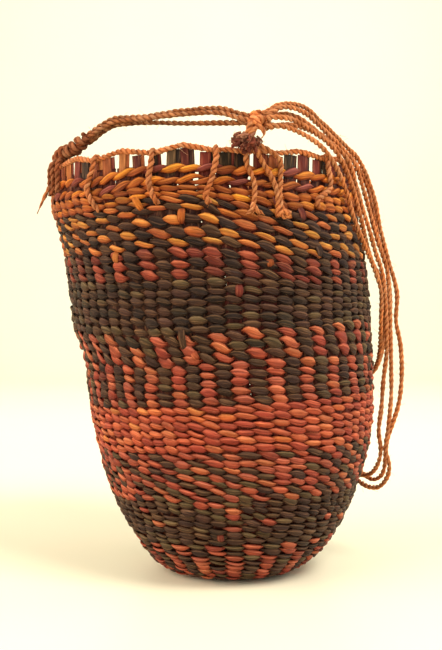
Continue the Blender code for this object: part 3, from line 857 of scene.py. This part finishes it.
def stitch_dyes(row, dye, count, chance):
    """The dye of each of a strand's stitches, some of them strays."""
    names = np.full(count, dye, dtype="<U9")
    if dye == "rope":
        from_front = (np.arange(count) + count // 2) % count - count // 2
        names = np.where(np.isin(from_front, ROPE_WINE[int(row["height"] > ROPE_MIDDLE)]), "wine", names)
        names[names == "rope"] = "gold"
    names[chance.uniform(size=count) < row["strays"]] = row["stray"]
    colours = np.zeros((count, 3))
    for name in np.unique(names):
        mine = names == name
        colours[mine] = dyed(name, chance, int(mine.sum()))
    return colours


def add_weft(strips, row, angles, strand, chance):
    """One of the two strands of a row, in front of every second warp and behind the others."""
    n = len(angles)
    u = (np.arange(strand, n, 2)[:, None] + STITCH_STOPS).ravel()
    marks = np.arange(-1, n + 2)
    angle = np.interp(u, marks, np.concatenate([[angles[-1] - math.tau], angles, angles[:2] + math.tau]))
    swing = math.pi * (u - strand)

    def each_stitch(low, high):
        values = chance.uniform(low, high, n)
        return np.interp(u, marks, values[marks % n])

    dye, reach, height = row["dyes"][strand], row["reach"], row["height"]
    rope, under = dye == "rope", height is None
    swing_out, crossing, point = ROPE_LOOK if rope else UNDER_LOOK if under else STITCH_LOOK
    front = (np.cos(swing) + reach) / (1 + reach)
    outness = np.tanh(STITCH_SQUARENESS * front) / math.tanh(STITCH_SQUARENESS)
    tilt = row["tilt"] * each_stitch(*TILT_SPREAD)
    out = swing_out * outness + (0 if under else ripple(SWELL_WAVES, angle, height))
    out = out + each_stitch(*OUT_SPREAD) * (UNDER_OUT_SHARE if under else 1)
    up = each_stitch(*UP_SPREAD) - tilt * np.sin(swing)
    below, above = row["beside"]
    pitch = (row_way(above, angle) - row_way(below, angle)) / row["steps"]
    half_height = (ROPE_HEIGHT if rope else pitch / 2 * row["fill"]) * each_stitch(*HEIGHT_SPREAD)
    if dye == SLIM_DYE:
        half_height = half_height * SLIM_SHARE
    edges = []
    for shear in (STITCH_SHEAR * row["tilt"], -STITCH_SHEAR * row["tilt"]):
        full = np.abs(np.cos(swing + shear) + reach) / (1 + reach)
        full = np.minimum(full * STITCH_FULLNESS, 1.0) ** point
        edges.append((crossing + (half_height - crossing) * full)[:, None])
    thickening = WEFT_THICKNESS * each_stitch(*THICKNESS_SPREAD) - CROSSING_THICKNESS
    thick = CROSSING_THICKNESS + thickening * np.minimum(np.abs(front), 1.0)
    way_along = row_way(row, angle)
    centre = WALL.place(angle, way_along + up, out)
    tangent = unit(np.roll(centre, -1, axis=0) - np.roll(centre, 1, axis=0))
    outward = square_to(tangent, WALL.outward(angle, way_along))
    roll = each_stitch(-STITCH_ROLL, STITCH_ROLL)[:, None]
    outward = np.cos(roll) * outward + np.sin(roll) * np.cross(outward, tangent)
    upward = np.cross(outward, tangent)
    section = np.repeat(np.array(STRAND_SECTION)[None, :, :], len(u), axis=0)
    # The fold is pushed in by its share, which also darkens its colour there as painted shade
    fold = each_stitch(*FOLD_DEPTH).clip(max=1.0)
    section[:, FOLD_POINT, 0] = each_stitch(*FOLD_PLACE)
    section[:, FOLD_POINT, 1:] = fold[:, None]
    high, deep, painted_section_light = section.transpose(2, 0, 1)
    rings = centre[:, None, :] + (np.where(high > 0, *edges) * high)[:, :, None] * upward[:, None, :]
    rings = rings + (thick[:, None] * deep)[:, :, None] * outward[:, None, :]
    # Painted light and shade on the colour: the section's share, darker as painted shade where the strand
    # turns behind a warp, never below EDGE_SHADE
    tints = np.repeat(stitch_dyes(row, dye, n, chance)[strand::2], len(STITCH_STOPS), axis=0)
    on_face = np.clip((outness + 0.6) / 1.5, 0.0, 1.0)[:, None]
    tints = tints[:, None, :] * np.maximum(on_face * painted_section_light, EDGE_SHADE)[:, :, None] ** PAINTED_SHADE_POWERS
    lengths = lengths_along(np.vstack([centre, centre[:1]]))
    strips.loft(rings, lengths, tints, shift=chance.uniform(0, 50), closed=True)


def add_warp(strips, angle, way, out, width, tint, thickness=STRIP_THICKNESS, lifted=False):
    """A flat strip up the wall. One that is lifted off it faces square to its own way up."""
    places = WALL.place(angle, way, out)
    ups = direction(places)
    outs = WALL.outward(angle, way)
    if lifted:
        outs = square_to(ups, outs)
    across = unit(np.cross(ups, outs))
    half = np.broadcast_to(np.asarray(width, float) / 2, len(places))[:, None]
    deep = thickness / 2
    corners = ((-1, -0.35), (0, -1), (1, -0.35), (1, 0.35), (0, 1), (-1, 0.35))
    rings = np.stack([places + w * half * across + d * deep * outs for w, d in corners], axis=1)
    strips.loft(rings, lengths_along(places), tint)


class BagSettings(bpy.types.PropertyGroup):
    """What a user would change."""

    floor_colour: FloatVectorProperty(
        name="Floor colour", description="Colour of the floor and backdrop", subtype="COLOR",
        default=(0.95, 0.93, 0.73),
    )
    key_power: FloatProperty(name="Key light", description="Main light's power", default=32.5, unit="POWER")
    fill_power: FloatProperty(name="Fill light", description="Soft light's power", default=24, unit="POWER")
    back_power: FloatProperty(name="Back light", description="Backdrop's power", default=12, unit="POWER")
    side_power: FloatProperty(name="Side lights", description="Power of each one", default=4, unit="POWER")
    room_light: FloatProperty(name="Room light", description="Brightness all round", default=0.6)


class DILLY_OT_stage(bpy.types.Operator):
    """Puts the camera, the pale floor and the soft lights in place"""

    bl_idname = "dilly.stage"
    bl_label = "Stage"

    def execute(self, context):
        settings = context.scene.dilly_bag
        camera = bpy.data.cameras.new("camera")
        camera.sensor_fit = "VERTICAL"
        camera.sensor_height = 36
        camera.lens = LENS
        camera.clip_start = 0.01
        seat = put("camera", camera)
        seat.location = [value * MM for value in CAMERA_PLACE]
        seat.rotation_euler = (math.pi / 2 - CAMERA_DROP, 0, 0)
        context.scene.camera = seat
        self.backdrop(settings.floor_colour)
        for name, (power, place, target, size, colour) in LIGHTS.items():
            lamp = bpy.data.lights.new(name, "AREA")
            lamp.energy, lamp.size, lamp.color = getattr(settings, power), size, colour
            seat = put(name, lamp)
            seat.location = place
            seat.rotation_euler = Vector(np.subtract(target, place)).to_track_quat("-Z", "Y").to_euler()
        world = bpy.data.worlds.new("room")
        world.use_nodes = True
        sky = world.node_tree.nodes["Background"].inputs
        sky["Color"].default_value = SKY
        sky["Strength"].default_value = settings.room_light
        context.scene.world = world
        context.scene.view_settings.view_transform = "Standard"
        return {"FINISHED"}

    def backdrop(self, colour):
        """A floor that curves up into a wall far behind."""
        front, depth, width, bend, tall = -3.0, 1.6, 5.0, 0.8, 3.0
        rise = [math.pi / 2 * i / 16 for i in range(17)]
        curve = [(depth + bend * math.sin(a), bend * (1 - math.cos(a))) for a in rise]
        outline = [(front, 0.0), *curve, (depth + bend, tall)]
        mesh = bpy.data.meshes.new("floor")
        places = [(side * width, y, z) for y, z in outline for side in (-1, 1)]
        mesh.from_pydata(places, [], [(i, i + 1, i + 3, i + 2) for i in range(0, len(places) - 2, 2)])
        for face in mesh.polygons:
            face.use_smooth = True
        shader = Shader("pale_floor")
        cloud = shader.noise(shader.place(), 3, 2)
        floor_colour = shader.brighter(tuple(colour), 0.97 + cloud * 0.06)
        shader.feed(shader.surface, {"Base Color": floor_colour, "Roughness": 0.45})
        mesh.materials.append(shader.material)
        put("floor", mesh)


class DILLY_OT_handle(bpy.types.Operator):
    """Twists the three long strings of the handle"""

    bl_idname = "dilly.handle"
    bl_label = "Handle"

    def execute(self, context):
        chance = np.random.default_rng(21)
        for name, route in STRAND_ROUTES.items():
            line = course(route, STRING_STEP)
            strips = Strips()
            # Painted shade on the left of the handle and painted light on its right
            light = by_stops(line[:, 0], STRAND_PAINTED_LIGHT)[:, None]
            add_string(strips, line, STRAND_DIAMETER, BARK * light, chance)
            piece = strips.piece("string_" + name[-1], "bark_string", name)
            path = course(route, 4) * MM
        return {"FINISHED"}


class DILLY_OT_twining(bpy.types.Operator):
    """Lays the warps, twines the rows round them and stands the warps' ends up round the mouth"""

    bl_idname = "dilly.twining"
    bl_label = "Twined wall"

    def execute(self, context):
        rows = rows_of_bag()
        laid = lay_warps(rows)
        chance = np.random.default_rng(5)
        groups = {}
        for row, (_, angles) in zip(rows, laid):
            strips = groups.setdefault(row["piece"], Strips())
            for strand in (0, 1):
                add_weft(strips, row, angles, strand, chance)
        wefts = [strips.piece("twining_" + name, "dyed_leaf", crisp=True) for name, strips in groups.items()]
        warps = self.warps(rows, laid, chance)
        rim = self.rim(laid[-1][1], chance)
        ends = self.loose_ends(chance)
        return {"FINISHED"}

    def warps(self, rows, laid, chance):
        """The strips that the rows are twined round, each from the row where it starts up to the mouth."""
        strips = Strips()
        lines = {}
        for row, (names, angles) in zip(rows, laid):
            for name, angle in zip(names, angles):
                lines.setdefault(name, []).append((angle, float(row_way(row, np.array([angle]))[0])))
        for line in lines.values():
            line = np.array([*line, (line[-1][0], WALL.way_to(WALL_TOP - 1))])
            way = np.linspace(line[0, 1], line[-1, 1], max(4, 2 * len(line)))
            angle = np.interp(way, line[:, 1], line[:, 0])
            radius, height = WALL.at("radius", way), WALL.at("height", way)
            room = math.tau * radius / np.interp(way, line[[0, -1], 1], [30, 62])
            width = min(WARP_WIDTH * chance.uniform(0.9, 1.1), float(np.median(room)))
            narrow = np.minimum(by_stops(height, WARP_NARROWING), np.clip(radius / 40, 0.35, 1.0))
            dye = str(chance.choice(list(WARP_DYES), p=list(WARP_DYES.values())))
            # Painted red bounce light from the brick strips, by height, then painted shade, as the warps lie
            # in the gaps between the stitches
            red_bounce = by_stops(height, WARP_RED_BOUNCE)[:, None]
            tint = (dyed(dye, chance) * (1 - red_bounce) + dyed("brick", chance) * red_bounce) * WARP_SHADE ** PAINTED_SHADE_POWERS
            add_warp(strips, angle, way, 0, width * narrow, tint, WARP_THICKNESS)
        return strips.piece("warps", "dyed_leaf", "bag_wall")

    def rim(self, angles, chance):
        """The warps' ends, which stand up two by two as flat strips of their own colours."""
        strips = Strips()
        for k, angle in enumerate(angles):
            from_front = k if k <= len(angles) // 2 else k - len(angles)
            elsewhere = chance.choice(RIM_DYES_ELSEWHERE, 2)
            top = border_height(math.degrees(angle)) - STRIP_DROP
            lean = chance.uniform(-0.7, 0.7)
            for side, dye in zip((-1, 1), RIM_DYES.get(from_front, elsewhere)):
                heights = np.linspace(STRIP_FOOT, top + chance.uniform(-0.9, 0.3), 8)
                share = (heights - STRIP_FOOT) / (top - STRIP_FOOT)
                shift = side * chance.uniform(0.9, 1.6) + lean * share**2 + chance.uniform(-0.2, 0.2)
                out = -0.3 * side + share * chance.uniform(-0.2, 0.2)
                turns = angle + shift / WALL_SECTIONS[-1][2]
                width = STRIP_WIDTH * chance.uniform(0.85, 1.12) * by_stops(from_front, STRIP_SHARES)
                # Painted shade, darkest at the strip's foot
                tints = dyed(str(dye), chance)[0] * by_stops(share, STRIP_SHADES)[:, None] ** PAINTED_SHADE_POWERS
                add_warp(strips, turns, WALL.way_to(heights), out, width, tints)
        return strips.piece("standing_strips", "dyed_leaf", crisp=True)

    def loose_ends(self, chance):
        """Ends of strips that weren't tucked in and lie up the wall."""
        strips = Strips()
        share = np.linspace(0, 1, 9)
        for tip_angle, top, foot_angle, foot, dye in LOOSE_ENDS:
            angle = np.radians(foot_angle + (tip_angle - foot_angle) * share)
            way = WALL.way_to(foot + (top - foot) * share)
            out = 1.2 + 1.7 * np.sin(math.pi * share) ** 0.6 + ripple(SWELL_WAVES, angle, top)
            width = chance.uniform(3.6, 4.4) * by_stops(share, END_WIDTHS)
            # Darker overall, with painted shade towards both ends of the loose end
            tints = dyed(dye, chance)[0] * 0.8 * by_stops(share, END_SHADES)[:, None] ** PAINTED_SHADE_POWERS
            add_warp(strips, angle, way, out, width, tints, lifted=True)
        return strips.piece("loose_ends", "dyed_leaf", crisp=True)


class DILLY_OT_border(bpy.types.Operator):
    """Lays the border string on the strip ends and sews it down outside and inside"""

    bl_idname = "dilly.border"
    bl_label = "Border string"

    def execute(self, context):
        chance = np.random.default_rng(31)
        strips = Strips()
        around = np.linspace(-75.0, 285.0, 340)
        ring = np.array([(*by_wall(a, WALL_TOP, 0.5 - MIDDLE_DEPTH)[:2], border_height(a)) for a in around])
        add_string(strips, evenly_spaced(ring, BORDER_STEP), BORDER_DIAMETER, BORDER_TINT, chance, lay=6.5)
        add_hairs(strips, ring, 3, 9, chance, BARK_PALE)
        for angle, middle, foot, low in STITCHES:
            crest = border_height(angle)
            outside = (
                (angle, crest - 1.5, -4.2),
                (angle, crest + 1.6, -2.2),
                (angle, crest + 0.4, 0.5),
                (angle, crest - 4.5, 1.4),
                (middle, (crest - 4 + low) / 2, 1.6),
                (foot, low + 3, 1.5),
                (foot + 0.8, low - 0.5, -0.4),
            )
            inside = (
                (angle, crest + 1.2, -2.4),
                (angle, crest - 1.5, -5.4),
                (middle, 236, -5.8),
                (foot + 1.5, low + 5, -5.6),
                (foot + 2, low + 1, -4.2),
            )
            for route in (outside, inside):
                line = course([by_wall(*place) for place in route], BORDER_STEP)
                add_string(strips, line, BORDER_DIAMETER, BORDER_TINT * chance.uniform(0.72, 0.88), chance)
                add_hairs(strips, line, 1.6, 2.5, chance, BARK)
        strips.piece("border", "bark_string", "border_string")
        return {"FINISHED"}


class DILLY_OT_lashing(bpy.types.Operator):
    """Winds the lashing that holds the handle's start to the left of the rim"""

    bl_idname = "dilly.lashing"
    bl_label = "Left lashing"

    def execute(self, context):
        chance = np.random.default_rng(41)
        strips = Strips()
        core = smooth_curve(NECK)
        for i, route in enumerate(STRAND_ROUTES.values()):
            turn = 2.1 * i
            bundle = core[:-6] + 1.2 * np.array((math.cos(turn), math.sin(turn), math.sin(turn + 1)))
            ahead = course(route, STRING_STEP)[:7]
            line = course(np.vstack([bundle[::8], ahead[::3]]), STRING_STEP)
            add_string(strips, line, 2.5, BARK_DARK, chance)
        neck = evenly_spaced(core, 0.4)
        frames = carried_frames(neck)
        share = shares_along(neck)
        for start in (0, math.pi):
            turn = start + math.tau * WRAP_TURNS * share
            radius = WRAP_RADIUS + 0.7 * np.sin(turn * 0.5 + start) - 0.9 * share**3
            line = (neck + radius[:, None] * wound(frames, turn))[share > WRAP_FROM]
            add_string(strips, evenly_spaced(line, STRING_STEP), 3.2, BARK_DARK * 1.02, chance, lay=10)
        for angle in LASHING_ANGLES:
            route = [by_wall(angle + 0.8 * math.sin(i), *turn) for i, turn in enumerate(LASHING_TURN)]
            add_string(strips, course(route, STRING_STEP), 2.6, BARK_DARK, chance)
        for spread in (-1, 1):
            route = np.array(LASHING_TAIL) + np.outer((0, 0.5, 1), (1.6 * spread, 0, 3.4 * spread))
            add_string(strips, course(route, STRING_STEP), 2, BARK, chance, lay=11, taper=9)
        add_hairs(strips, neck[::3], 3, 2.5, chance, BARK)
        strips.piece("lashing", "bark_string", "left_lashing")
        return {"FINISHED"}


class DILLY_OT_knot(bpy.types.Operator):
    """Ties the front knot, with its legs, its curl and its frayed tuft"""

    bl_idname = "dilly.knot"
    bl_label = "Front knot"

    def execute(self, context):
        chance = np.random.default_rng(51)
        strips = Strips()
        self.body(strips, chance)
        for leg in KNOT_LEGS:
            route = [place if len(place) == 3 else by_wall(*place, LEG_STANDOFF) for place in leg]
            line = course(route, STRING_STEP)
            add_string(strips, line, 2.6, BARK * chance.uniform(0.7, 0.82), chance)
            add_hairs(strips, line, 1.6, 2, chance, BARK)
        for spread in LEG_SPLAY:
            splay = ((15.8, 217, 1.6), (15.6 + 0.6 * spread, 213, 2.2), (15.6 + 1.7 * spread, 210.6, 1.4))
            line = course([by_wall(*place) for place in splay], FINE_STEP)
            add_string(strips, line, 1.9, BARK * chance.uniform(0.75, 0.95), chance, taper=3)
        loop = np.linspace(0, math.tau * 1.7, 44)
        tight = np.interp(loop, (0, loop[-1]), (1.7, 1.1))
        ring = [2.1 * tight * np.cos(loop) / 1.5 + 0.8, 0.9 * np.sin(1.5 * loop) - 0.8, tight * np.sin(loop)]
        line = evenly_spaced(by_wall(*SMALL_KNOT) + np.stack(ring, axis=1), 0.8)
        add_string(strips, line, 2.5, BARK, chance, lay=6)
        add_string(strips, course(KNOT_CURL, FINE_STEP), 3, BARK, chance, lay=10, taper=6)
        self.tuft(strips, chance)
        strips.piece("knot", "bark_string", "front_knot")
        return {"FINISHED"}

    def body(self, strips, chance):
        """The strands that rise through the knot, and the turns that wrap them."""
        column = course(KNOT_COLUMN, 0.6)
        frames = carried_frames(column)
        share = shares_along(column)
        for i in range(KNOT_STRANDS):
            line = column + KNOT_RADIUS * wound(frames, math.tau * (i / KNOT_STRANDS + 0.6 * share))
            add_string(strips, line, 2.7, BARK * 1.02, chance, lay=10)
        low, high = KNOT_WRAPPED
        for start in (0, math.pi):
            turn = start + math.tau * 1.2 * (share - low) / (high - low)
            wide = 3 + 0.4 * np.sin(turn + start)
            line = (column + wide[:, None] * wound(frames, turn))[(share > low) & (share < high)]
            add_string(strips, evenly_spaced(line, 0.8), 2.5, BARK * 1.25, chance, lay=9)

    def tuft(self, strips, chance):
        """Frayed locks from the root out, dark below and some of them lit by a painted highlight at the top.
        """
        root = np.array(TUFT_ROOT)
        for tip in np.repeat(TUFT_TIPS, TUFT_LOCKS, axis=0):
            end = tip + chance.normal(0, 1.1, 3)
            start = root * 0.5 + end * 0.5 + chance.normal(0, 1, 3)
            bend = (start + end) / 2 + chance.normal(0, 0.8, 3)
            line = course([start, bend, end], FINE_STEP)
            radii = chance.uniform(0.5, 1) * by_stops(np.linspace(0, 1, len(line)), LOCK_RADII)
            # A painted highlight that grows towards the top of the tuft
            pale = np.clip((end[2] - 246) / 6, 0.0, 1.0) * chance.uniform(0, 1)
            tint = FIBRE_DARK * (1 - pale) * chance.uniform(0.3, 1.2) + TUFT_PALE_AND_HIGHLIGHT * pale
            add_tube(strips, line, radii, tint, sides=5)
            add_hairs(strips, line, 1.3, 1, chance, TUFT_PALE_AND_HIGHLIGHT)


class DILLY_OT_fibres(bpy.types.Operator):
    """Adds the fine loose fibres that stand off the handle's strings"""

    bl_idname = "dilly.fibres"
    bl_label = "Loose fibres"

    def execute(self, context):
        chance = np.random.default_rng(61)
        strips = Strips()
        for route in STRAND_ROUTES.values():
            add_hairs(strips, course(route, STRING_STEP), 2.6, 3.2, chance, BARK_PALE)
        strips.piece("loose_fibres", "bark_string")
        return {"FINISHED"}


class DILLY_PT_panel(bpy.types.Panel):
    """The steps that make the bag"""

    bl_idname = "DILLY_PT_panel"
    bl_label = "Dilly Bag"
    bl_space_type = "VIEW_3D"
    bl_region_type = "UI"
    bl_category = "Dilly Bag"

    def draw(self, context):
        for step in STEPS:
            self.layout.operator(step.bl_idname)
        for name in BagSettings.__annotations__:
            self.layout.prop(context.scene.dilly_bag, name)


STEPS = (
    DILLY_OT_stage, DILLY_OT_handle, DILLY_OT_twining, DILLY_OT_border, DILLY_OT_lashing, DILLY_OT_knot,
    DILLY_OT_fibres,
)
CLASSES = (BagSettings, *STEPS, DILLY_PT_panel)


def register():
    for made in CLASSES:
        bpy.utils.register_class(made)
    bpy.types.Scene.dilly_bag = PointerProperty(type=BagSettings)


def unregister():
    del bpy.types.Scene.dilly_bag
    for made in reversed(CLASSES):
        bpy.utils.unregister_class(made)


def main():
    register()
    bpy.ops.object.select_all(action="DESELECT")
    for step in STEPS:
        getattr(bpy.ops.dilly, step.bl_idname.split(".")[1])()


if __name__ == "__main__":
    main()
